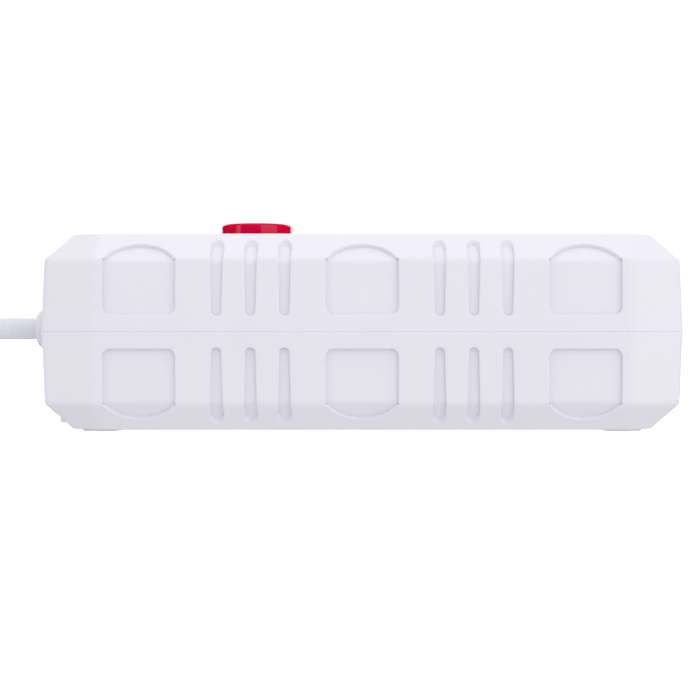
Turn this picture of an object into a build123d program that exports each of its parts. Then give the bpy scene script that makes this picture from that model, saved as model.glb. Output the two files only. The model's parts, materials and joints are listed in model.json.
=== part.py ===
from build123d import *
from math import atan, cos, degrees, radians, sin, sqrt, tan
import os

# Three-way power strip: a tall two-shell case with bevelled edges, a lit push button,
# earthed outlets with shutters, and a lead wound into a coil with its plug on top.
# Millimetres. The origin is on the floor under the middle of the case, +X runs away from
# the lead, and the long side at -Y is the front.

os.makedirs("parts", exist_ok=True)

# ---- driving dimensions -------------------------------------------------------------
case_length = 196.0
case_width = 62.0
case_height = 60.0
foot_height = 0.6
case_bevel = 8.1  # 45 degree bevel round the top and the bottom
case_draft = 0.8  # how far a side leans in between the parting line and the bevel
corner_start = 81.7  # where the long side ends and the shallow corner face starts
corner_depth = 7.25
wall = 2.5

fold_radius = 2.6  # between a side and the bevel
side_radius = 7.0  # between the long side and the corner face
end_radius = 3.0  # between the corner face and the end
rim_radius = 1.2  # between the bevel and the top
seam_bevel = 0.2  # on each shell, where the two meet

outlet_pitch = 67.2
recess_depth = 1.3
pad_width = 21.9
pad_gap = 5.2  # from the parting line to the pad
pad_corner = 2.4
pad_arch = 6.65  # how far the pad's arch climbs the bevel, along its slope
recess_rim = 0.4  # the soft rim round every pad and groove
groove_pitch = 10.25
groove_gap = 4.8
groove_low = 3.0  # width near the parting line
groove_high = 4.2  # width on the bevel
groove_top = 28.0

well_r = 19.6
well_depth = 17.5
well_wall = 1.0
plate = 2.5  # the well's floor
pin_pitch = 19.0
pin_r = 2.4
pin_length = 19.0

button_r = 11.5
button_height = 4.0
button_travel = 3.0
button_skirt = 10.6

cord_r = 3.45
cord_rise = 0.9  # the lead leaves the case this far above the parting line
bushing_r = 6.0
bushing_reach = 5.6  # how far the bushing stands out of the end
sheath_end = -88.0  # where the lead's sheath ends inside the case
core_r = 1.25
coil_x, coil_y = -178.0, 10.5
coil_inside, coil_outside = 27.5, 41.55
coil_bottom, coil_top = 0.9, 21.5
tie_thickness = 0.8

# ---- worked out from them -----------------------------------------------------------
parting_z = foot_height + case_height / 2
top_z = foot_height + case_height
fold_height = case_height / 2 - case_bevel
end_x = case_length / 2
half_width = case_width / 2
inner_floor = foot_height + wall
outlets = {1: -outlet_pitch, 2: 0.0, 3: outlet_pitch}
pads = list(outlets.values())
button_x = -outlet_pitch / 2
groove_groups = [-outlet_pitch / 2, outlet_pitch / 2]
well_floor = top_z - well_depth
well_under = well_floor - plate
pin_y = pin_pitch / 2
cord_z = parting_z + cord_rise


def save(piece, name):
    piece.part.label = name
    export_step(piece.part, f"parts/{name}.step")


def box(x, y, z, mode=Mode.ADD):
    """A box between the given (low, high) pairs, in the part that is open."""
    with Locations([((x[0] + x[1]) / 2, (y[0] + y[1]) / 2, (z[0] + z[1]) / 2)]):
        Box(x[1] - x[0], y[1] - y[0], z[1] - z[0], mode=mode)


def drum(places, radius, z, mode=Mode.ADD):
    """Upright cylinders at the given (x, y) places, between two heights."""
    with Locations([(x, y, (z[0] + z[1]) / 2) for x, y in places]):
        Cylinder(radius, z[1] - z[0], mode=mode)


# ---- the case -----------------------------------------------------------------------
def case_outline(inset):
    """The case seen from above, an oblong with shallow corner faces."""
    quarter = [(end_x, half_width - corner_depth), (corner_start, half_width)]
    back = quarter + [(-x, y) for x, y in reversed(quarter)]
    with BuildSketch() as outline:
        with BuildLine():
            Polyline(*back, *[(-x, -y) for x, y in back], close=True)
        make_face()
        if inset:
            offset(amount=-inset, kind=Kind.INTERSECTION, mode=Mode.REPLACE)
    return outline.sketch


def plain_half(inset):
    """The upper half of the plain closed case, with every face moved in by inset."""
    side = fold_height - (sqrt(2) - 1) * inset
    lean = case_draft * side / fold_height
    base = Plane(origin=(0, 0, parting_z))
    with BuildPart() as half:
        with BuildSketch(base):
            add(case_outline(inset))
        extrude(amount=side, taper=degrees(atan(lean / side)))
        with BuildSketch(base.offset(side)):
            add(case_outline(inset + lean))
        extrude(amount=case_height / 2 - inset - side, taper=45)
    return half.part


def is_fold(edge, inset=0.0):
    level = fold_height - (sqrt(2) - 1) * inset
    flat = abs(edge.tangent_at(0.5).Z) < 0.1
    return flat and abs(abs(edge.center().Z - parting_z) - level) < 0.05


def is_upright(edge):
    return abs(edge.tangent_at(0.5).Z) > 0.3


def rounded_half():
    """The upper half of the case as it looks from outside, before the recesses."""
    with BuildPart() as half:
        add(plain_half(0))
        fillet([e for e in half.edges() if is_fold(e)], fold_radius)
        side_edges = [e for e in half.edges() if is_upright(e) and abs(e.center().X) < corner_start + 0.5]
        fillet(side_edges, side_radius)
        end_edges = [e for e in half.edges() if is_upright(e) and abs(e.center().X) > 92]
        fillet(end_edges, end_radius)
        rims = [e for e in half.edges() if abs(abs(e.center().Z - parting_z) - case_height / 2) < 0.02]
        fillet(rims, rim_radius)
        seam = [e for e in half.edges() if abs(e.center().Z - parting_z) < 0.01]
        chamfer([e for e in seam if abs(e.tangent_at(0.5).Z) < 0.1], seam_bevel)
    return half.part


def recess_floor():
    """The body that the floors of the pads and grooves lie on."""
    with BuildPart() as floor:
        add(plain_half(recess_depth))
        fillet([e for e in floor.edges() if is_fold(e, recess_depth)], fold_radius)
    return floor.part


def bevel_y(height):
    """The bevel's distance from the case's middle plane, at a height above the parting line."""
    return half_width - case_draft - (height - fold_height)


def pad_space(x, side):
    """The space of one pad: a block square to the side face, and one square to the bevel under an arch."""
    low, high = pad_gap, fold_height
    reach, corner = pad_width / 2, pad_corner
    front = Plane(origin=(x, side * (half_width + 1), parting_z), x_dir=(-side, 0, 0), z_dir=(0, side, 0))
    slope = Plane(origin=(x, side * bevel_y(fold_height), parting_z + fold_height), x_dir=(-side, 0, 0), z_dir=(0, side, 1))
    with BuildPart() as space:
        with BuildSketch(front):
            with BuildLine():
                Line((-reach, high), (-reach, low + corner))
                RadiusArc((-reach, low + corner), (corner - reach, low), -corner)
                Line((corner - reach, low), (reach - corner, low))
                RadiusArc((reach - corner, low), (reach, low + corner), -corner)
                Line((reach, low + corner), (reach, high))
                Line((reach, high), (-reach, high))
            make_face()
        extrude(amount=-4)
        with BuildSketch(slope.offset(2)):
            with BuildLine():
                Polyline((reach, 0), (reach, -2), (-reach, -2), (-reach, 0))
                ThreePointArc((-reach, 0), (0, pad_arch), (reach, 0))
            make_face()
        extrude(amount=-5)
    return space.part


def groove_space(x, side):
    """The space of one groove, which widens from the parting line to the bevel."""
    low, high = groove_low / 2, groove_high / 2
    foot, head = parting_z + groove_gap + low, top_z
    front = Plane(origin=(0, side * half_width / 2, 0), x_dir=(1, 0, 0), z_dir=(0, -1, 0))
    end_y = side * (bevel_y(groove_top) + high)
    with BuildPart() as space:
        with BuildSketch(front):
            with BuildLine():
                ThreePointArc((x - low, foot), (x, foot - low), (x + low, foot))
                Polyline((x + low, foot), (x + high, head), (x - high, head), (x - low, foot))
            make_face()
        extrude(amount=-side * half_width)
        with BuildSketch(Plane.XY.offset(-1)):
            with Locations([(x, end_y)]):
                Circle(high)
            with Locations([(x, end_y + side * half_width / 2)]):
                Rectangle(groove_high, half_width)
        extrude(amount=top_z + 2, mode=Mode.INTERSECT)
    return space.part


def rim_of(half, skin, x, side, reach):
    """The edges where one pad or groove meets the outside of the case."""
    found = []
    for edge in half.edges():
        middle = edge @ 0.5
        height = middle.Z - parting_z
        beside = abs(middle.X - x) < reach and edge.length < 2.7 * reach
        if beside and side * middle.Y > 20 and 3 < height < case_height / 2 - 0.5:
            if Vertex(middle.X, middle.Y, middle.Z).distance_to(skin) < 0.001:
                found.append(edge)
    return found


def outside_half():
    """The upper half of the case from outside, with its pads and grooves and their soft rims."""
    grooves = [x + k * groove_pitch for x in groove_groups for k in (-1, 0, 1)]
    spaces = [(x, side, pad_space, pad_width / 2 + 0.3) for x in pads for side in (1, -1)]
    spaces += [(x, side, groove_space, groove_high / 2 + 0.3) for x in grooves for side in (1, -1)]
    plain = rounded_half()
    skin = plain.shells()[0]
    with BuildPart() as half:
        add(plain)
        with BuildPart(mode=Mode.PRIVATE) as cuts:
            for x, side, space, reach in spaces:
                add(space(x, side))
            add(recess_floor(), mode=Mode.SUBTRACT)
        add(cuts.part, mode=Mode.SUBTRACT)
        for x, side, space, reach in spaces:
            fillet(rim_of(half.part, skin, x, side, reach), recess_rim)
    return half.part


tower_x, tower_y = outlet_pitch / 2, 17.5
towers = [(x, y) for x in (-tower_x, tower_x) for y in (-tower_y, tower_y)]
feet = [(x, y) for x in (-80.5, 80.5) for y in (-15.0, 15.0)]
foot_r, foot_sink = 6.0, 1.0
screw_r, screw_head_r, screw_seat = 1.4, 2.9, 9.6
lip_out, lip_in, lip_height = 1.3, 2.4, 1.5
carrier_low, carrier_high = 15.5, 18.0
carrier_screws = [(50.0, -4.75), (50.0, 4.75), (-50.0, -4.75), (-50.0, 4.75)]
saddle_x = (-94.3, -88.4)
saddle_screws = [(sum(saddle_x) / 2, -7.5), (sum(saddle_x) / 2, 7.5)]

bushing_hole_r = 4.9
bushing_hole = Plane(origin=(-end_x - 1, 0, cord_z), z_dir=(1, 0, 0))


parting = Plane.XY.offset(parting_z)
outside = outside_half()
inside = plain_half(wall)

with BuildPart() as top_shell:
    add(outside)
    add(inside, mode=Mode.SUBTRACT)
    with BuildSketch(Plane.XY.offset(parting_z)):
        add(case_outline(lip_out - 0.1))
        add(case_outline(wall + 1), mode=Mode.SUBTRACT)
    extrude(amount=lip_height + 0.2, mode=Mode.SUBTRACT)
    with BuildPart(mode=Mode.PRIVATE) as bosses:
        drum(towers, 3.4, (parting_z, top_z - 1.5))
        add(plain_half(wall / 2), mode=Mode.INTERSECT)
    add(bosses.part)
    drum(towers, screw_r + 0.05, (parting_z, parting_z + 15), mode=Mode.SUBTRACT)
    drum([(x, 0) for x in pads], well_r + well_wall + 0.1, (parting_z, top_z + 1), mode=Mode.SUBTRACT)
    drum([(x, 0) for x in pads], well_r + 1.9, (top_z - 1, top_z + 1), mode=Mode.SUBTRACT)
    drum([(button_x, 0)], button_r + 0.3, (parting_z, top_z + 1), mode=Mode.SUBTRACT)
    with BuildSketch(bushing_hole):
        Circle(bushing_hole_r)
    extrude(amount=wall + 2, mode=Mode.SUBTRACT)
save(top_shell, "top_shell")

with BuildPart() as bottom_shell:
    add(mirror(outside, about=parting))
    add(mirror(inside, about=parting), mode=Mode.SUBTRACT)
    with BuildSketch(Plane.XY.offset(parting_z - 2)):
        add(case_outline(lip_out))
        add(case_outline(lip_in), mode=Mode.SUBTRACT)
    extrude(amount=lip_height + 2)
    drum(towers, 4.2, (inner_floor - 1, parting_z))
    drum(carrier_screws, 2.7, (inner_floor - 1, carrier_low))
    drum([(x, 0) for x in (-72.0, 0.0, 72.0)], 4.0, (inner_floor - 1, carrier_low))
    box(saddle_x, (-11, 11), (inner_floor - 1, cord_z - 1.6))
    drum(towers, screw_r + 0.3, (0, parting_z + 1), mode=Mode.SUBTRACT)
    drum(towers, screw_head_r + 0.2, (0, screw_seat), mode=Mode.SUBTRACT)
    drum(carrier_screws, 1.1, (carrier_low - 9, carrier_low + 1), mode=Mode.SUBTRACT)
    drum(saddle_screws, 1.3, (cord_z - 12, cord_z), mode=Mode.SUBTRACT)
    drum(feet, foot_r + 0.1, (0, foot_height + foot_sink), mode=Mode.SUBTRACT)
    with BuildSketch(bushing_hole):
        Circle(bushing_hole_r)
    extrude(amount=wall + 2, mode=Mode.SUBTRACT)
    with BuildSketch(bushing_hole):
        Circle(cord_r + 0.1)
    extrude(amount=20, mode=Mode.SUBTRACT)
save(bottom_shell, "bottom_shell")

with BuildPart() as rubber_feet:
    drum(feet, foot_r, (0, foot_height + foot_sink))
    fillet(rubber_feet.edges().group_by(Axis.Z)[0], 0.3)
save(rubber_feet, "rubber_feet")

with BuildPart() as case_screws:
    drum(towers, screw_head_r, (screw_seat - 1.9, screw_seat))
    drum(towers, screw_r, (screw_seat, parting_z + 13))
    with Locations([(x, y, screw_seat - 1.4) for x, y in towers]):
        Box(3.2, 0.7, 1.2, mode=Mode.SUBTRACT)
        Box(0.7, 3.2, 1.2, mode=Mode.SUBTRACT)
save(case_screws, "case_screws")

def tube(points, radius):
    """A round tube along straight runs joined by arcs, each as large as its runs allow."""
    nodes = [Vector(*p) for p in points]
    radii = []
    for before, here, after in zip(nodes, nodes[1:], nodes[2:]):
        run = min((here - before).length, (after - here).length)
        turn = (here - before).get_angle(after - here)
        radii.append(0.45 * run / tan(radians(turn / 2)))
    with BuildPart() as piece:
        with BuildLine() as route:
            if radii:
                FilletPolyline(*nodes, radius=radii)
            else:
                Line(*nodes)
        path = route.wire()
        with BuildSketch(Plane(origin=path @ 0, z_dir=path % 0)):
            Circle(radius)
        sweep(path=path)
    print([round(r, 1) for r in radii], "length", round(path.length, 1))
    print("volume over section times length:", round(piece.part.volume / (3.14159 * radius**2 * path.length), 4))
    return piece


# ---- the outlets --------------------------------------------------------------------
clip_x = 18.2  # an earth clip's distance from the middle of its well
shutter_low, shutter_high = 38.2, 40.2
post_r, hub_r = 2.0, 4.2
spring_z = 37.4
catch_angle = 25.0  # where the return spring's legs end
peg_r = 0.8
catch_r = 9.4

for number, x in outlets.items():
    with BuildPart() as insert:
        drum([(x, 0)], well_r + well_wall, (well_under, top_z))
        drum([(x, 0)], well_r + 1.8, (top_z - 1, top_z))
        drum([(x, 0)], well_r, (well_floor, top_z + 1), mode=Mode.SUBTRACT)
        fillet(insert.edges().filter_by(GeomType.CIRCLE).group_by(Axis.Z)[-1].sort_by(SortBy.RADIUS)[0], 0.5)
        for side in (1, -1):
            rib = sorted((side * (well_r - 1.6), side * (well_r + 0.5)))
            box((x - 1.7, x + 1.7), rib, (well_floor - 0.5, top_z - 3))
        drum([(x, 0)], post_r, (36.8, well_under + 0.5))
        drum([(x, 0)], post_r + 0.6, (36.8, 37.6))
        catch = [(x + catch_r * cos(radians(catch_angle)), -catch_r * sin(radians(catch_angle)))]
        drum(catch, peg_r, (36.8, well_under + 0.5))
        drum([(x, -pin_y), (x, pin_y)], pin_r + 0.3, (well_under - 1, well_floor + 1), mode=Mode.SUBTRACT)
        for side in (1, -1):
            slot_x = x + side * clip_x
            box((slot_x - 1.0, slot_x + 1.0), (-2.8, 2.8), (well_under - 1, well_floor + 1), mode=Mode.SUBTRACT)
    save(insert, f"outlet_insert_{number}")

    with BuildPart() as shutter:
        with BuildSketch(Plane.XY.offset(shutter_low)):
            with Locations([(x, 0)]):
                SlotOverall(2 * (pin_y + 3.8), 6.6, rotation=90)
                Circle(hub_r)
            with Locations([Location((x, 0, 0), (0, 0, catch_angle))]):
                with Locations([(catch_r / 2, 0)]):
                    Rectangle(catch_r + 1.6, 2.0)
            with Locations([(x, 0)]):
                Circle(post_r + 0.06, mode=Mode.SUBTRACT)
        extrude(amount=shutter_high - shutter_low)
        catch = [(x + catch_r * cos(radians(catch_angle)), catch_r * sin(radians(catch_angle)))]
        drum(catch, peg_r, (36.8, shutter_low + 0.5))
    save(shutter, f"shutter_{number}")

    around = [(10.5, 17), (4.0, 30), (4.0, 80), (4.0, 130), (4.0, 180)]
    around += [(r, -angle) for r, angle in reversed(around[:-1])]
    route = [(x + r * cos(radians(angle)), r * sin(radians(angle)), spring_z) for r, angle in around]
    spring = tube(route, 0.25)
    save(spring, f"shutter_spring_{number}")

    with BuildPart() as bracket:
        side_view = Plane(origin=(x, 2.3, 0), x_dir=(1, 0, 0), z_dir=(0, -1, 0))
        with BuildSketch(side_view):
            with BuildLine():
                half = [(0, 36.0), (clip_x, 36.0), (clip_x, 47.0), (clip_x - 1.5, 52.0), (clip_x + 0.6, 57.0)]
                Polyline(*[(-a, b) for a, b in reversed(half[1:])], *half)
            trace(line_width=0.7)
        extrude(amount=4.6)
    save(bracket, f"earth_bracket_{number}")

# ---- the bars -----------------------------------------------------------------------
bar_low, bar_thick = 22.0, 0.8
bar_ends = (-77.0, 80.0)
leaf_top = 35.0
for name, side in (("live_bar", 1), ("neutral_bar", -1)):
    with BuildPart() as bar:
        middle = side * pin_y
        box(bar_ends, (middle - 3, middle + 3), (bar_low, bar_low + bar_thick))
        for x in pads:
            for way in (1, -1):
                leaf = sorted((middle + way * (pin_r - 0.1), middle + way * (pin_r + 0.5)))
                box((x - 3.5, x + 3.5), leaf, (bar_low, leaf_top))
    save(bar, name)

with BuildPart() as earth_bar:
    box((-80.0, 74.0), (-2.6, 2.6), (carrier_high, carrier_high + 0.8))
    for x in pads:
        box((x + 4.0, x + 4.8), (-2.3, 2.3), (carrier_high, 35.65))
save(earth_bar, "earth_bar")

with BuildPart() as bar_carrier:
    box((-81.0, 84.0), (-13.0, 13.0), (carrier_low, carrier_high))
    for side in (1, -1):
        middle = side * pin_y
        box((-79.0, 82.0), (middle - 2.9, middle + 2.9), (carrier_high, bar_low))
    drum(carrier_screws, 1.4, (carrier_low - 1, carrier_high + 1), mode=Mode.SUBTRACT)
save(bar_carrier, "bar_carrier")

with BuildPart() as carrier_screw_set:
    drum(carrier_screws, 1.6, (carrier_high, carrier_high + 1.4))
    drum(carrier_screws, 1.05, (carrier_low - 7, carrier_high))
save(carrier_screw_set, "carrier_screws")

# ---- the switch ---------------------------------------------------------------------
box_x, box_y = 10.6, 12.8
switch_low, switch_rim, cover_top = 25.0, 41.6, 43.2
cross_low, cross_high = 36.0, 41.3
stem = 8.8
blade_z = 29.6  # the fixed contacts' lower face
blade_t = 0.8
pad_t = 0.8
with BuildPart() as switch_housing:
    box((button_x - box_x, button_x + box_x), (-box_y, box_y), (switch_low, switch_rim))
    room_x, room_y = box_x - 1.3, box_y - 1.2
    box((button_x - room_x, button_x + room_x), (-room_y, room_y), (switch_low + 1.5, switch_rim + 1), mode=Mode.SUBTRACT)
    for side in (1, -1):
        leg = sorted((side * 3.2, side * 5.8))
        box((button_x - 6, button_x + 6), leg, (carrier_high, switch_low + 0.5))
        tab = sorted((side * (pin_y - 2.1), side * (pin_y + 2.1)))
        box((button_x - box_x - 1, button_x - room_x + 1), tab, (blade_z - 0.1, blade_z + blade_t + 0.1), mode=Mode.SUBTRACT)
        box((button_x + 6.1, button_x + 7.3), tab, (switch_low - 1, switch_low + 2), mode=Mode.SUBTRACT)
save(switch_housing, "switch_housing")

with BuildPart() as switch_cover:
    box((button_x - box_x, button_x + box_x), (-box_y, box_y), (switch_rim, cover_top))
    box((button_x - 4.6, button_x + 4.6), (-4.6, 4.6), (switch_rim - 1, cover_top + 1), mode=Mode.SUBTRACT)
save(switch_cover, "switch_cover")

with BuildPart() as supply_contacts:
    for side in (1, -1):
        tab = (side * pin_y - 2.0, side * pin_y + 2.0)
        box((button_x - box_x - 3.5, button_x - 3.4), tab, (blade_z, blade_z + blade_t))
        drum([(button_x - 5.0, side * pin_y)], 1.5, (blade_z + blade_t - 0.1, blade_z + blade_t + pad_t))
save(supply_contacts, "supply_contacts")

with BuildPart() as switched_contacts:
    for side in (1, -1):
        tab = (side * pin_y - 2.0, side * pin_y + 2.0)
        box((button_x + 3.4, button_x + 7.1), tab, (blade_z, blade_z + blade_t))
        box((button_x + 6.3, button_x + 7.1), tab, (bar_low + bar_thick, blade_z + blade_t))
        drum([(button_x + 5.0, side * pin_y)], 1.5, (blade_z + blade_t - 0.1, blade_z + blade_t + pad_t))
save(switched_contacts, "switched_contacts")

with BuildPart() as contact_bridges:
    for side in (1, -1):
        tab = (side * pin_y - 1.9, side * pin_y + 1.9)
        box((button_x - 6.8, button_x + 6.8), tab, (cross_low - blade_t, cross_low))
        spots = [(button_x - 5.0, side * pin_y), (button_x + 5.0, side * pin_y)]
        drum(spots, 1.5, (blade_z + blade_t + pad_t + button_travel + 0.05, cross_low - blade_t + 0.1))
save(contact_bridges, "contact_bridges")

disc_low, disc_high = 54.2, 56.2
with BuildPart() as switch_plunger:
    box((button_x - 3, button_x + 3), (-11.3, 11.3), (cross_low, cross_high))
    box((button_x - stem / 2, button_x + stem / 2), (-stem / 2, stem / 2), (cross_low, disc_high))
    drum([(button_x, 0)], button_r - 1.55, (disc_low, disc_high))
    drum([(button_x, 0)], 2.6, (47.0, disc_high + 1), mode=Mode.SUBTRACT)
save(switch_plunger, "switch_plunger")

button_top = top_z + button_height
with BuildPart() as button_cap:
    drum([(button_x, 0)], button_r, (button_top - button_skirt, button_top))
    fillet(button_cap.edges().group_by(Axis.Z)[-1], 0.9)
    drum([(button_x, 0)], button_r + 1.1, (56.4, 57.9))
    drum([(button_x, 0)], button_r - 1.5, (button_top - button_skirt - 1, button_top - 1.6), mode=Mode.SUBTRACT)
save(button_cap, "button_cap")

with BuildPart() as neon_lamp:
    drum([(button_x, 0)], 2.4, (47.2, 60.5))
    fillet(neon_lamp.edges().group_by(Axis.Z)[-1], 2.3)
save(neon_lamp, "neon_lamp")

spring_r, spring_wire = 7.3, 0.5
spring_pitch = (disc_low - cover_top - 2 * spring_wire - 0.02) / 5
with BuildPart() as button_spring:
    with BuildLine(Plane(origin=(button_x, 0, cover_top + spring_wire + 0.01))) as coil_line:
        Helix(spring_pitch, 5 * spring_pitch, spring_r)
    with BuildSketch(Plane(origin=coil_line.wire() @ 0, z_dir=coil_line.wire() % 0)):
        Circle(spring_wire)
    sweep(path=coil_line.wire(), is_frenet=True)
save(button_spring, "button_spring")


# ---- the lead -----------------------------------------------------------------------
side_axis = Plane(origin=(-end_x, 0, cord_z), x_dir=(1, 0, 0), z_dir=(0, -1, 0))
with BuildPart() as cord_bushing:
    with BuildSketch(side_axis):
        with BuildLine():
            nose = -bushing_reach
            Line((nose, cord_r + 0.1), (nose, bushing_r - 1.8))
            ThreePointArc((nose, bushing_r - 1.8), (nose + 0.45, bushing_r - 0.6), (nose + 1.5, bushing_r))
            Polyline(
                (nose + 1.5, bushing_r), (0, bushing_r), (0, bushing_hole_r - 0.05), (wall + 0.4, bushing_hole_r - 0.05),
                (wall + 0.4, bushing_r), (wall + 1.1, bushing_r), (wall + 1.1, cord_r + 0.1), (nose, cord_r + 0.1),
            )
        make_face()
    revolve(axis=Axis((-end_x, 0, cord_z), (1, 0, 0)))
save(cord_bushing, "cord_bushing")


def by_coil(radius, angle, z):
    """A point beside the coil's axis, at an angle from +X in degrees."""
    return coil_x + radius * cos(radians(angle)), coil_y + radius * sin(radians(angle)), z


# the sheathed lead: straight out of the case, then down onto the top of the coil, where it
# lies in the hollow between the outer and the inner turns
on_top_r, on_top_z = 34.55, 24.0
lead_route = [
    (sheath_end, 0, 31.5),
    (-104.0, 0, 31.5),
    (-120.0, 0, 31.6),
    (-132.5, -2.6, 30.2),
    (-143.5, -8.6, 28.0),
    (-153.5, -14.9, 25.8),
    by_coil(on_top_r, -66, 24.4),
    by_coil(on_top_r, -84, on_top_z),
    by_coil(on_top_r, -102, on_top_z),
    by_coil(on_top_r, -120, on_top_z),
    by_coil(on_top_r, -138, on_top_z),
]
cord_lead = tube(lead_route, cord_r)
save(cord_lead, "cord_lead")

# the lead's other end: it leaves the bottom turn of the coil on the floor and rises to the
# plug, which lies on the floor on the rear edge of its head
tail_r, tail_z, tail_angle = 38.1, 4.35, -110
plug_tilt = 0.28  # the sine of the plug's slope
plug_head = 30.0  # from the plug's rear to the rear edge of its head
plug_r = 18.4
tail_end_z = plug_r * sqrt(1 - plug_tilt**2) - plug_head * plug_tilt
tail_step = 12.0
tail_start = Vector(*by_coil(tail_r, tail_angle, tail_z))
tail_way = Vector(sin(radians(tail_angle)), -cos(radians(tail_angle)), 0)
last_rise = tail_step * plug_tilt / sqrt(1 - plug_tilt**2)
tail_route = [by_coil(tail_r, tail_angle + 18, tail_z), tuple(tail_start)]
for steps, z in ((1, 4.5), (2, tail_end_z - last_rise), (3, tail_end_z)):
    place = tail_start + tail_way * (steps * tail_step)
    tail_route.append((place.X, place.Y, z))
cord_tail = tube(tail_route, cord_r)
save(cord_tail, "cord_tail")

coil_axis = Axis((coil_x, coil_y, 0), (0, 0, 1))
coil_section = Plane(origin=(coil_x, coil_y, 0), x_dir=(1, 0, 0), z_dir=(0, -1, 0))
coil_middle = ((coil_inside + coil_outside) / 2, (coil_bottom + coil_top) / 2)
coil_size = (coil_outside - coil_inside, coil_top - coil_bottom)
with BuildPart() as cord_coil:
    with BuildSketch(coil_section):
        with Locations([coil_middle]):
            RectangleRounded(*coil_size, 3.4)
    revolve(axis=coil_axis)
save(cord_coil, "cord_coil")

with BuildPart() as coil_tie:
    with BuildSketch(coil_section):
        with Locations([coil_middle]):
            RectangleRounded(coil_size[0] + 0.1 + 2 * tie_thickness, coil_size[1] + 0.1 + 2 * tie_thickness, 4.2)
            RectangleRounded(coil_size[0] + 0.1, coil_size[1] + 0.1, 3.4, mode=Mode.SUBTRACT)
    revolve(axis=coil_axis, revolution_arc=12)
save(coil_tie, "coil_tie")

# ---- the wiring in the case -----------------------------------------------------------
core_z = cord_z + 0.78
terminal_x = button_x - box_x - 3.5
for name, side in (("live_wire", 1), ("neutral_wire", -1)):
    route = [
        (sheath_end, side * 1.34, core_z),
        (-82.0, side * 1.34, core_z),
        (-75.5, side * 15.0, 30.5),
        (-58.0, side * 16.6, 30.2),
        (-52.5, side * pin_y, blade_z + blade_t / 2),
        (terminal_x, side * pin_y, blade_z + blade_t / 2),
    ]
    save(tube(route, core_r), name)
earth_route = [
    (sheath_end, 0, cord_z - 1.55),
    (-83.0, 0, cord_z - 1.55),
    (-78.0, 0, 26.0),
    (-78.0, 0, carrier_high + 0.8),
]
save(tube(earth_route, core_r), "earth_wire")

with BuildPart() as cord_saddle:
    box(saddle_x, (-11, 11), (cord_z - 0.8, cord_z + 6.5))
    with BuildSketch(Plane(origin=(saddle_x[0] - 1, 0, cord_z), z_dir=(1, 0, 0))):
        Circle(cord_r + 0.1)
    extrude(amount=8, mode=Mode.SUBTRACT)
    drum(saddle_screws, 1.7, (cord_z - 2, cord_z + 8), mode=Mode.SUBTRACT)
save(cord_saddle, "cord_saddle")

with BuildPart() as saddle_screw_set:
    drum(saddle_screws, 2.6, (cord_z + 6.5, cord_z + 8.3))
    drum(saddle_screws, 1.25, (cord_z - 10, cord_z + 6.5))
save(saddle_screw_set, "saddle_screws")

# ---- the plug -----------------------------------------------------------------------
plug_way = (Vector(*tail_route[-1]) - Vector(*tail_route[-2])).normalized()
plug_rear = Vector(*tail_route[-1])
plug_side = Vector(0, 0, 1).cross(plug_way).normalized()
plug_plane = Plane(origin=plug_rear, x_dir=plug_side, z_dir=plug_way)
plug_axis = Axis(plug_rear, plug_way)
plug_length = 45.0
face_r = 16.0
plug_profile = Plane(origin=plug_rear, x_dir=plug_way, z_dir=plug_side)


def turned(points, rounds=()):
    """A solid of revolution about the plug's axis, from its (along, radius) outline.

    rounds holds (number of a corner, radius) pairs."""
    with BuildPart() as piece:
        with BuildSketch(plug_profile) as outline:
            with BuildLine():
                Polyline(*points, close=True)
            make_face()
            for corner, radius in rounds:
                place = Vector(*points[corner])
                fillet([v for v in outline.vertices() if (Vector(v.X, v.Y) - place).length < 0.01], radius)
        revolve(axis=plug_axis)
    return piece.part


with BuildPart() as plug_boot:
    add(turned([(0, 0), (0, 4.6), (14, 5.4), (14, 0)]))
save(plug_boot, "plug_boot")

with BuildPart() as plug_body:
    add(turned([
        (14, 0), (14, 7.5), (17, 9.0), (27, 15.5), (plug_head, plug_r), (plug_length, plug_r),
        (plug_length, face_r), (plug_length - 4, face_r), (plug_length - 4, 0),
    ], [(1, 1.2), (2, 2.0), (3, 6.0), (4, 1.6), (5, 0.8)]))
    for side in (1, -1):
        with Locations([plug_plane * Location((0, side * (plug_r + 0.6), 36))]):
            Box(6.0, 3.4, 20, mode=Mode.SUBTRACT)
save(plug_body, "plug_body")

pin_places = [(-pin_y, 0), (pin_y, 0)]
pin_root_r = 1.8
with BuildPart() as plug_face:
    add(turned([(plug_length - 4, 0), (plug_length - 4, face_r), (plug_length, face_r), (plug_length, 0)]))
    for across, up in pin_places:
        with Locations([plug_plane * Location((across, up, plug_length - 2))]):
            Cylinder(pin_root_r, 6, mode=Mode.SUBTRACT)
save(plug_face, "plug_face")

with BuildPart() as plug_pins:
    for across, up in pin_places:
        with Locations([plug_plane * Location((across, up, plug_length))]):
            Cylinder(pin_r, pin_length, align=(Align.CENTER, Align.CENTER, Align.MIN))
            Cylinder(pin_root_r, 4, align=(Align.CENTER, Align.CENTER, Align.MAX))
    tips = [e for e in plug_pins.edges().filter_by(GeomType.CIRCLE)]
    far = max(plug_axis.position.sub(e.arc_center).length for e in tips)
    fillet([e for e in tips if plug_axis.position.sub(e.arc_center).length > far - 1], 1.5)
save(plug_pins, "plug_pins")

with BuildPart() as plug_earth_clips:
    for side in (1, -1):
        with Locations([plug_plane * Location((0, side * (plug_r - 0.7), 37.4))]):
            Box(4.0, 0.6, 13)
save(plug_earth_clips, "plug_earth_clips")
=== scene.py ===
import json
from math import cos, radians, sin

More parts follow.
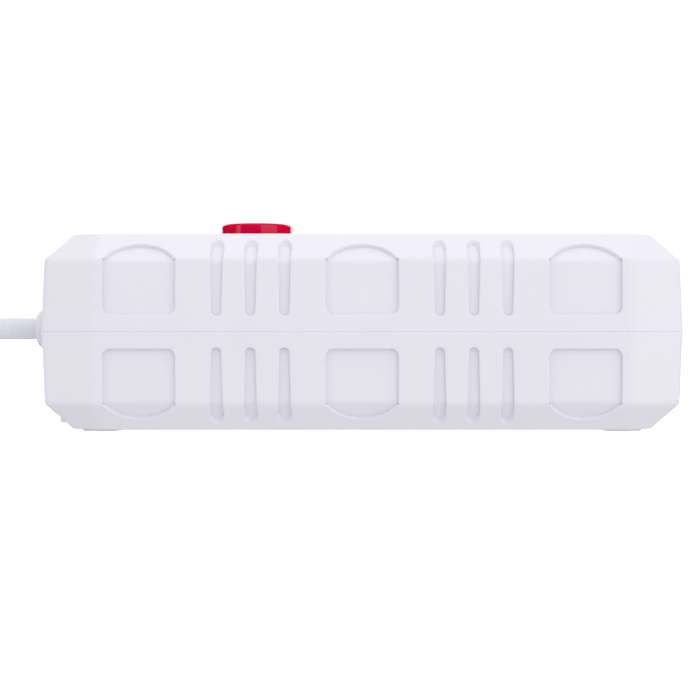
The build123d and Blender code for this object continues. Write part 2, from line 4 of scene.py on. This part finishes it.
import bpy
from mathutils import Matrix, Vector


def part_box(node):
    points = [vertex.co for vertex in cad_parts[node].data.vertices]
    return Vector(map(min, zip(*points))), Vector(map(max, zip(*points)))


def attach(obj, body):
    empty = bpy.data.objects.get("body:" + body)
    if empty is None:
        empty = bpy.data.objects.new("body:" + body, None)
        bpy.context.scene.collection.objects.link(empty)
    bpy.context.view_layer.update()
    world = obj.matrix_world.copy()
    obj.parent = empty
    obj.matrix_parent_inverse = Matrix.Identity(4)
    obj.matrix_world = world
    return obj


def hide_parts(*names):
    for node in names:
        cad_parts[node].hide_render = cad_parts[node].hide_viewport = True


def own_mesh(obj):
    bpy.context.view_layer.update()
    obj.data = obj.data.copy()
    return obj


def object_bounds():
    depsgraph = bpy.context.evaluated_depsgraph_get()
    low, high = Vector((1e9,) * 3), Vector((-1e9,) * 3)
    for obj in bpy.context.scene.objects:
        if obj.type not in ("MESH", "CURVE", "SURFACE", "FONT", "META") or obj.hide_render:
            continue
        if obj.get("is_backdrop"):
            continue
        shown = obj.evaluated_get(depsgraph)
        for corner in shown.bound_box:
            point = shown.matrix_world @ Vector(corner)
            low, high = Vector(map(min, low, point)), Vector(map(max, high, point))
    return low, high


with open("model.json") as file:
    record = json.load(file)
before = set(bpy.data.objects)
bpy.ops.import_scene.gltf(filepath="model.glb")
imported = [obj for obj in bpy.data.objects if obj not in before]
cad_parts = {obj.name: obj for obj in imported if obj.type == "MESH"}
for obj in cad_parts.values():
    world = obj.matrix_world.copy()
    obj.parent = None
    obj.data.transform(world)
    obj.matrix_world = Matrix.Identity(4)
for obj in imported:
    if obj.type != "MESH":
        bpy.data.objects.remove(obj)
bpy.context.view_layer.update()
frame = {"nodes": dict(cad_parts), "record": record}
nodes = frame["nodes"]

# ---- camera ---------------------------------------------------------------------------
PARTING_Z = 0.0306          # where the two shells of the case meet
EYE = Vector((0.0, -0.490, 0.0316))

camera = bpy.data.objects.new("camera", bpy.data.cameras.new("camera"))
bpy.context.scene.collection.objects.link(camera)
camera.location = EYE
camera.rotation_euler = (radians(90), 0, 0)
camera.data.lens = 78.74
camera.data.shift_x = -12.1 / 700
camera.data.shift_y = -21.6 / 700
camera.data.clip_start = 0.02
camera.data.clip_end = 20
bpy.context.scene.camera = camera

# ---- the lead -------------------------------------------------------------------------
CORD_R = 0.00345
COIL_X, COIL_Y = -0.178, 0.0105
TURN_POINTS = 18            # control points to a turn
PULL_IN = 0.985             # a curve of that many points runs this much inside them
TURN_PLACES = [             # radius and height of each turn, from the lead down to the tail
    (0.03455, 0.02400),
    (0.0381, 0.01805),
    (0.0310, 0.01805),
    (0.0310, 0.01120),
    (0.0381, 0.01120),
    (0.0310, 0.00435),
    (0.0381, 0.00435),
]
FIRST_ANGLE = -66           # where the lead comes to lie on the coil, in degrees from +X
TAIL_ANGLE = -110           # where the last turn leaves it
ON_TOP = 150                # degrees the lead lies on top before it sinks into the turns
CHANGE_EVERY = 344          # degrees between one change of place and the next
CHANGE_OVER = 26

lead_points = [
    (-0.0880, 0.0, 0.0315),
    (-0.1040, 0.0, 0.0315),
    (-0.1200, 0.0, 0.0316),
    (-0.1325, -0.0026, 0.0302),
    (-0.1435, -0.0086, 0.0280),
    (-0.1535, -0.0149, 0.0258),
]


def ease(share):
    """0 below 0, 1 above 1, and a smooth step between them."""
    share = min(1.0, max(0.0, share))
    return share * share * (3 - 2 * share)


def on_coil(travel):
    """A point of the coil, travel degrees after the lead comes to lie on it."""
    radius, height = TURN_PLACES[0]
    for number, (place, after) in enumerate(zip(TURN_PLACES, TURN_PLACES[1:])):
        done = ease((travel - ON_TOP - CHANGE_EVERY * number) / CHANGE_OVER)
        radius += done * (after[0] - place[0])
        height += done * (after[1] - place[1])
    angle = radians(FIRST_ANGLE - travel)
    return COIL_X + radius / PULL_IN * cos(angle), COIL_Y + radius / PULL_IN * sin(angle), height


# the coil ends where its last turn passes the angle at which the tail leaves it
WOUND = FIRST_ANGLE - TAIL_ANGLE + 360 * 6
STEP = 360 / TURN_POINTS
coil_points = [on_coil(STEP * count) for count in range(int((WOUND - STEP / 2) / STEP) + 1)]

# the tail: straight on from the last turn, up to the plug that lies on the floor
last_angle, tail_r = radians(TAIL_ANGLE), TURN_PLACES[-1][0]
tail_x, tail_y = COIL_X + tail_r * cos(last_angle), COIL_Y + tail_r * sin(last_angle)
tail_points = [
    (tail_x + far * sin(last_angle), tail_y - far * cos(last_angle), height)
    for far, height in ((0.0, 0.00435), (0.012, 0.0045), (0.024, 0.00576), (0.036, 0.00926), (0.044, 0.01160))
]
route = lead_points + coil_points + tail_points

line = bpy.data.curves.new("mains_lead", "CURVE")
line.dimensions = "3D"
spline = line.splines.new("NURBS")
spline.points.add(len(route) - 1)
for point, place in zip(spline.points, route):
    point.co = (*place, 1)
    point.radius = CORD_R
spline.order_u = 3
spline.use_endpoint_u = True
spline.resolution_u = 6
line.bevel_depth = 1.0      # times the points' radius
line.bevel_resolution = 6
line.use_fill_caps = True
mains_lead = bpy.data.objects.new("mains_lead", line)
bpy.context.scene.collection.objects.link(mains_lead)
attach(mains_lead, "case")
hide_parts("cord_lead", "cord_coil", "cord_tail")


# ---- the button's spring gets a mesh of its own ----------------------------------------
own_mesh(nodes["button_spring"])

# ---- how materials are written --------------------------------------------------------
class Value:
    """A number socket that can be added, multiplied and compared in Python."""

    def __init__(self, finish, socket):
        self.finish, self.socket = finish, socket

    def maths(self, operation, *others):
        return Value(self.finish, self.finish.node("ShaderNodeMath", {"operation": operation}, self, *others))

    def __add__(self, other):
        return self.maths("ADD", other)

    def __sub__(self, other):
        return self.maths("SUBTRACT", other)

    def __rsub__(self, other):
        return self.maths("MULTIPLY", -1).maths("ADD", other)

    def __mul__(self, other):
        return self.maths("MULTIPLY", other)

    def __gt__(self, other):
        return self.maths("GREATER_THAN", other)

    __radd__ = __add__
    __rmul__ = __mul__

    def size(self):
        return self.maths("ABSOLUTE")

    def span(self, low, high):
        """0 at low, 1 at high, held at both ends."""
        share = (self - low) * (1 / (high - low))
        return share.maths("MAXIMUM", 0).maths("MINIMUM", 1)


class Finish:
    """One material: its nodes, its shader, and where on the object a point is."""

    def __init__(self, name, **fixed):
        self.material = bpy.data.materials.new(name)
        self.material.use_nodes = True
        self.tree = self.material.node_tree
        self.shader = self.tree.nodes["Principled BSDF"]
        for socket, value in fixed.items():
            self.shader.inputs[socket.replace("_", " ")].default_value = value
        self.where = self.node("ShaderNodeTexCoord", {}, out="Object")

    def node(self, kind, settings, *values, out=0, **named):
        """A node of that type: its settings first, then the values or links of its sockets."""
        made = self.tree.nodes.new(kind)
        for setting, value in settings.items():
            setattr(made, setting, value)
        for place, value in enumerate(values):
            self.put(value, made.inputs[place])
        for name, value in named.items():
            self.put(value, made.inputs[name.replace("_", " ")])
        return made.outputs[out]

    def put(self, value, socket):
        """Sets a socket to a number or colour, or links it."""
        if isinstance(value, Value):
            value = value.socket
        if isinstance(value, bpy.types.NodeSocket):
            self.tree.links.new(value, socket)
        else:
            socket.default_value = value

    def drive(self, **sockets):
        """Feeds the shader's own sockets."""
        for name, value in sockets.items():
            self.put(value, self.shader.inputs[name.replace("_", " ")])

    def place(self):
        """The three coordinates of a point, in metres."""
        split = self.node("ShaderNodeSeparateXYZ", {}, self.where).node
        return [Value(self, split.outputs[axis]) for axis in "XYZ"]

    def noise(self, grain, detail=2.0, rough=0.5, stretch=(1, 1, 1)):
        """Noise from 0 to 1 with features of that size in metres."""
        at = self.node("ShaderNodeVectorMath", {"operation": "MULTIPLY"}, self.where, stretch)
        cloud = self.node(
            "ShaderNodeTexNoise", {}, out="Fac", Vector=at, Scale=1 / grain, Detail=detail, Roughness=rough
        )
        return Value(self, cloud)

    def blend(self, amount, first, second):
        """From one colour to another."""
        mix = self.node("ShaderNodeMix", {"data_type": "RGBA"}, amount, out=2).node
        self.put(first, mix.inputs[6])
        self.put(second, mix.inputs[7])
        return mix.outputs[2]

    def bump(self, height, depth):
        """A normal from a height, depth metres deep from 0 to 1."""
        return self.node("ShaderNodeBump", {}, Strength=1.0, Distance=depth, Height=height)


def colour(red, green, blue):
    return red, green, blue, 1.0


finishes = {}


def keep(slot, finish):
    finishes[slot] = finish.material
    return finish


# ---- white mouldings ------------------------------------------------------------------
GRAIN_DEPTH = 0.000012


def white_moulding(slot, paler, darker, roughness, grain):
    """Pale plastic: fine spark-eroded grain, a slight cloudiness and a few dull specks."""
    made = keep(slot, Finish(slot, IOR=1.50))
    cloud = made.noise(0.035, 3.0)
    speck = made.noise(0.0011, 2.0)
    tone = cloud * 0.8 + speck * 0.2
    made.drive(
        Base_Color=made.blend(tone.span(0.3, 0.7), paler, darker),
        Roughness=made.noise(0.004, 3.0).span(0.3, 0.7) * 0.06 + roughness,
        Normal=made.bump(made.noise(grain, 1.0), GRAIN_DEPTH),
    )


white_moulding("shell_white", colour(0.835, 0.822, 0.900), colour(0.820, 0.808, 0.886), 0.34, 0.0007)
white_moulding("insert_white", colour(0.845, 0.838, 0.880), colour(0.828, 0.820, 0.865), 0.30, 0.0006)
white_moulding("bushing_white", colour(0.80, 0.79, 0.84), colour(0.78, 0.77, 0.82), 0.44, 0.0005)
white_moulding("tie_white", colour(0.82, 0.82, 0.83), colour(0.79, 0.79, 0.80), 0.40, 0.0004)
white_moulding("foot_rubber", colour(0.74, 0.73, 0.75), colour(0.68, 0.67, 0.69), 0.75, 0.0005)
white_moulding("shutter_grey", colour(0.45, 0.46, 0.50), colour(0.41, 0.42, 0.46), 0.50, 0.0005)

# ---- the red button -------------------------------------------------------------------
BUTTON_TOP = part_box("button_cap")[1].z
BUTTON_SHADE_FADE = 0.0045        # painted shade: the red is painted darker over this much below the top, with a painted highlight at the top
red = keep("button_red", Finish("button_red", Roughness=0.12, IOR=1.49, Coat_Weight=0.6, Coat_Roughness=0.05))
_, _, height = red.place()
# painted highlight and painted shade: the button's red is brighter at its top and darker lower down
shaded_red, lit_red = colour(0.50, 0.0, 0.030), colour(0.72, 0.0, 0.048)
red.drive(
    Base_Color=red.blend(height.span(BUTTON_TOP - BUTTON_SHADE_FADE, BUTTON_TOP), shaded_red, lit_red),
    Roughness=red.noise(0.003, 2.0) * 0.06 + 0.08,
    Normal=red.bump(red.noise(0.0030, 1.0), 0.00002),
)

# ---- the lead and the plug ------------------------------------------------------------
for slot, grain in (("cord_grey", 0.0006), ("plug_grey", 0.0008)):
    sheath = keep(slot, Finish(slot, IOR=1.5, Sheen_Weight=0.08, Sheen_Roughness=0.5))
    cloud, scuff = sheath.noise(0.012, 3.0), sheath.noise(0.0016, 4.0, 0.6)
    sheath.drive(
        Base_Color=sheath.blend(
            (cloud * 0.6 + scuff * 0.4).span(0.3, 0.7), colour(0.80, 0.80, 0.87), colour(0.74, 0.74, 0.82)
        ),
        Roughness=scuff.span(0.25, 0.75) * 0.14 + 0.42,
        Normal=sheath.bump(sheath.noise(grain, 2.0), 0.00003),
    )

# ---- black mouldings ------------------------------------------------------------------
WORN, WORN_BLUE = 1.7, 1.8  # how much paler a worn patch is
for slot, shade in (("carrier_black", 0.030), ("switch_black", 0.020)):
    black = keep(slot, Finish(slot, IOR=1.5))
    grain = black.noise(0.0006, 2.0)
    black.drive(
        Base_Color=black.blend(
            black.noise(0.01, 3.0),
            colour(shade, shade, shade),
            colour(shade * WORN, shade * WORN, shade * WORN_BLUE),
        ),
        Roughness=grain * 0.15 + 0.42,
        Normal=black.bump(grain, 0.00003),
    )


# ---- metals ---------------------------------------------------------------------------
STREAK_DEPTH = 0.000015


def metal(slot, clean, dull, roughness, streak):
    """Drawn or plated metal: streaks along the strip, and dull patches."""
    made = keep(slot, Finish(slot, Metallic=1.0))
    patches = made.noise(0.006, 4.0, 0.6).span(0.40, 0.70)
    lines = made.noise(0.0005, 2.0, 0.5, streak)
    made.drive(
        Base_Color=made.blend(patches, clean, dull),
        Roughness=patches * 0.16 + lines * 0.14 + roughness,
        Normal=made.bump(lines, STREAK_DEPTH),
    )


metal("brass", colour(0.80, 0.60, 0.27), colour(0.62, 0.43, 0.18), 0.18, (0.08, 1, 1))
metal("steel", colour(0.66, 0.66, 0.68), colour(0.50, 0.50, 0.53), 0.26, (1, 1, 1))
metal("spring_steel", colour(0.60, 0.60, 0.62), colour(0.42, 0.42, 0.44), 0.24, (1, 1, 0.2))
metal("nickel", colour(0.78, 0.76, 0.72), colour(0.66, 0.64, 0.60), 0.10, (1, 1, 0.1))
metal("silver", colour(0.84, 0.83, 0.80), colour(0.62, 0.60, 0.56), 0.20, (0.1, 1, 1))

# ---- lamp and cores -------------------------------------------------------------------
lamp = keep("lamp_glass", Finish("lamp_glass", Transmission_Weight=0.85, IOR=1.47))
lamp.drive(
    Base_Color=lamp.blend(lamp.noise(0.002, 2.0), colour(0.98, 0.80, 0.68), colour(0.95, 0.62, 0.45)),
    Roughness=lamp.noise(0.001, 2.0) * 0.10 + 0.02,
)

STRIPE = 0.0006             # the earth core is yellow further than this from the middle of the case
for slot, clean, worn in (
    ("wire_brown", colour(0.17, 0.070, 0.025), colour(0.22, 0.100, 0.045)),
    ("wire_blue", colour(0.020, 0.110, 0.42), colour(0.035, 0.150, 0.50)),
    ("wire_green", colour(0.09, 0.36, 0.045), colour(0.12, 0.42, 0.06)),
):
    core = keep(slot, Finish(slot, IOR=1.5))
    tone = core.blend(core.noise(0.003, 3.0), clean, worn)
    if slot == "wire_green":
        _, across, _ = core.place()
        tone = core.blend(across.size() > STRIPE, tone, colour(0.80, 0.68, 0.03))
    core.drive(
        Base_Color=tone,
        Roughness=core.noise(0.001, 2.0) * 0.12 + 0.35,
        Normal=core.bump(core.noise(0.0007, 2.0), 0.00002),
    )

# ---- every node takes the finish of its slot ------------------------------------------
for part in frame["record"]["subparts"]:
    worn_by = nodes[part["node"]]
    worn_by.data.materials.clear()
    worn_by.data.materials.append(finishes[part["material_slot"]])
mains_lead.data.materials.append(finishes["cord_grey"])

# ---- floor, sky and lights ------------------------------------------------------------
FLOOR_HALF = 4.0
floor_mesh = bpy.data.meshes.new("floor")
corners = [(FLOOR_HALF * x, FLOOR_HALF * y, 0) for x, y in ((-1, -1), (1, -1), (1, 1), (-1, 1))]
floor_mesh.from_pydata(corners, [], [(0, 1, 2, 3)])
floor = bpy.data.objects.new("floor", floor_mesh)
bpy.context.scene.collection.objects.link(floor)
floor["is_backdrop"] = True
floor.visible_diffuse = False
floor.visible_glossy = False
table_top = Finish(
    "table_top", Roughness=0.9, Base_Color=colour(0.80, 0.80, 0.80), Specular_IOR_Level=0.0,
    Emission_Color=colour(1.0, 1.0, 1.0), Emission_Strength=0.72,
)
floor_mesh.materials.append(table_top.material)

sky = bpy.data.worlds.new("studio")
bpy.context.scene.world = sky
sky.use_nodes = True
tree = sky.node_tree
tree.nodes.clear()
direction = tree.nodes.new("ShaderNodeTexCoord").outputs["Generated"]


def gradient(along, low, high):
    """The sky's brightness from one side to the other: low where the direction is against along."""
    dot = tree.nodes.new("ShaderNodeVectorMath")
    dot.operation = "DOT_PRODUCT"
    tree.links.new(direction, dot.inputs[0])
    dot.inputs[1].default_value = along
    span = tree.nodes.new("ShaderNodeMapRange")
    tree.links.new(dot.outputs["Value"], span.inputs["Value"])
    span.inputs["From Min"].default_value, span.inputs["From Max"].default_value = -1, 1
    span.inputs["To Min"].default_value, span.inputs["To Max"].default_value = low, high
    return span.outputs["Result"]


strength = gradient((0, 1, 0), 0.885, 1.17)
for along, low, high in (((0, 0, 1), 0.85, 1.03), ((1, 0, 0), 0.94, 1.04)):
    product = tree.nodes.new("ShaderNodeMath")
    product.operation = "MULTIPLY"
    tree.links.new(strength, product.inputs[0])
    tree.links.new(gradient(along, low, high), product.inputs[1])
    strength = product.outputs[0]
background = tree.nodes.new("ShaderNodeBackground")
background.inputs["Color"].default_value = colour(1.0, 1.0, 1.0)
tree.links.new(strength, background.inputs["Strength"])
out = tree.nodes.new("ShaderNodeOutputWorld")
tree.links.new(background.outputs[0], out.inputs["Surface"])


def softbox(name, place, wide, tall, watts):
    """A flat lamp that faces the middle of the case."""
    lamp_data = bpy.data.lights.new(name, "AREA")
    lamp_data.shape = "RECTANGLE"
    lamp_data.size, lamp_data.size_y, lamp_data.energy = wide, tall, watts
    made = bpy.data.objects.new(name, lamp_data)
    made.location = place
    made.rotation_euler = (Vector((0, 0, PARTING_Z)) - Vector(place)).to_track_quat("-Z", "Y").to_euler()
    bpy.context.scene.collection.objects.link(made)


for name, place, wide, tall, watts in (
    ("right_box", (0.80, -0.89, 0.30), 1.25, 1.6, 3.3),
    ("left_box", (-1.02, -0.64, 0.30), 0.30, 1.6, 1.2),
    ("back_box", (0.0, 1.6, 0.60), 3.0, 1.6, 24.0),
    ("top_box", (0.0, 0.0, 1.5), 1.4, 1.0, 2.0),
):
    softbox(name, place, wide, tall, watts)
sky.cycles_visibility.glossy = False    # the studio round the case is dark to its gloss

bpy.context.scene.view_settings.view_transform = "Standard"

low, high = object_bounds()
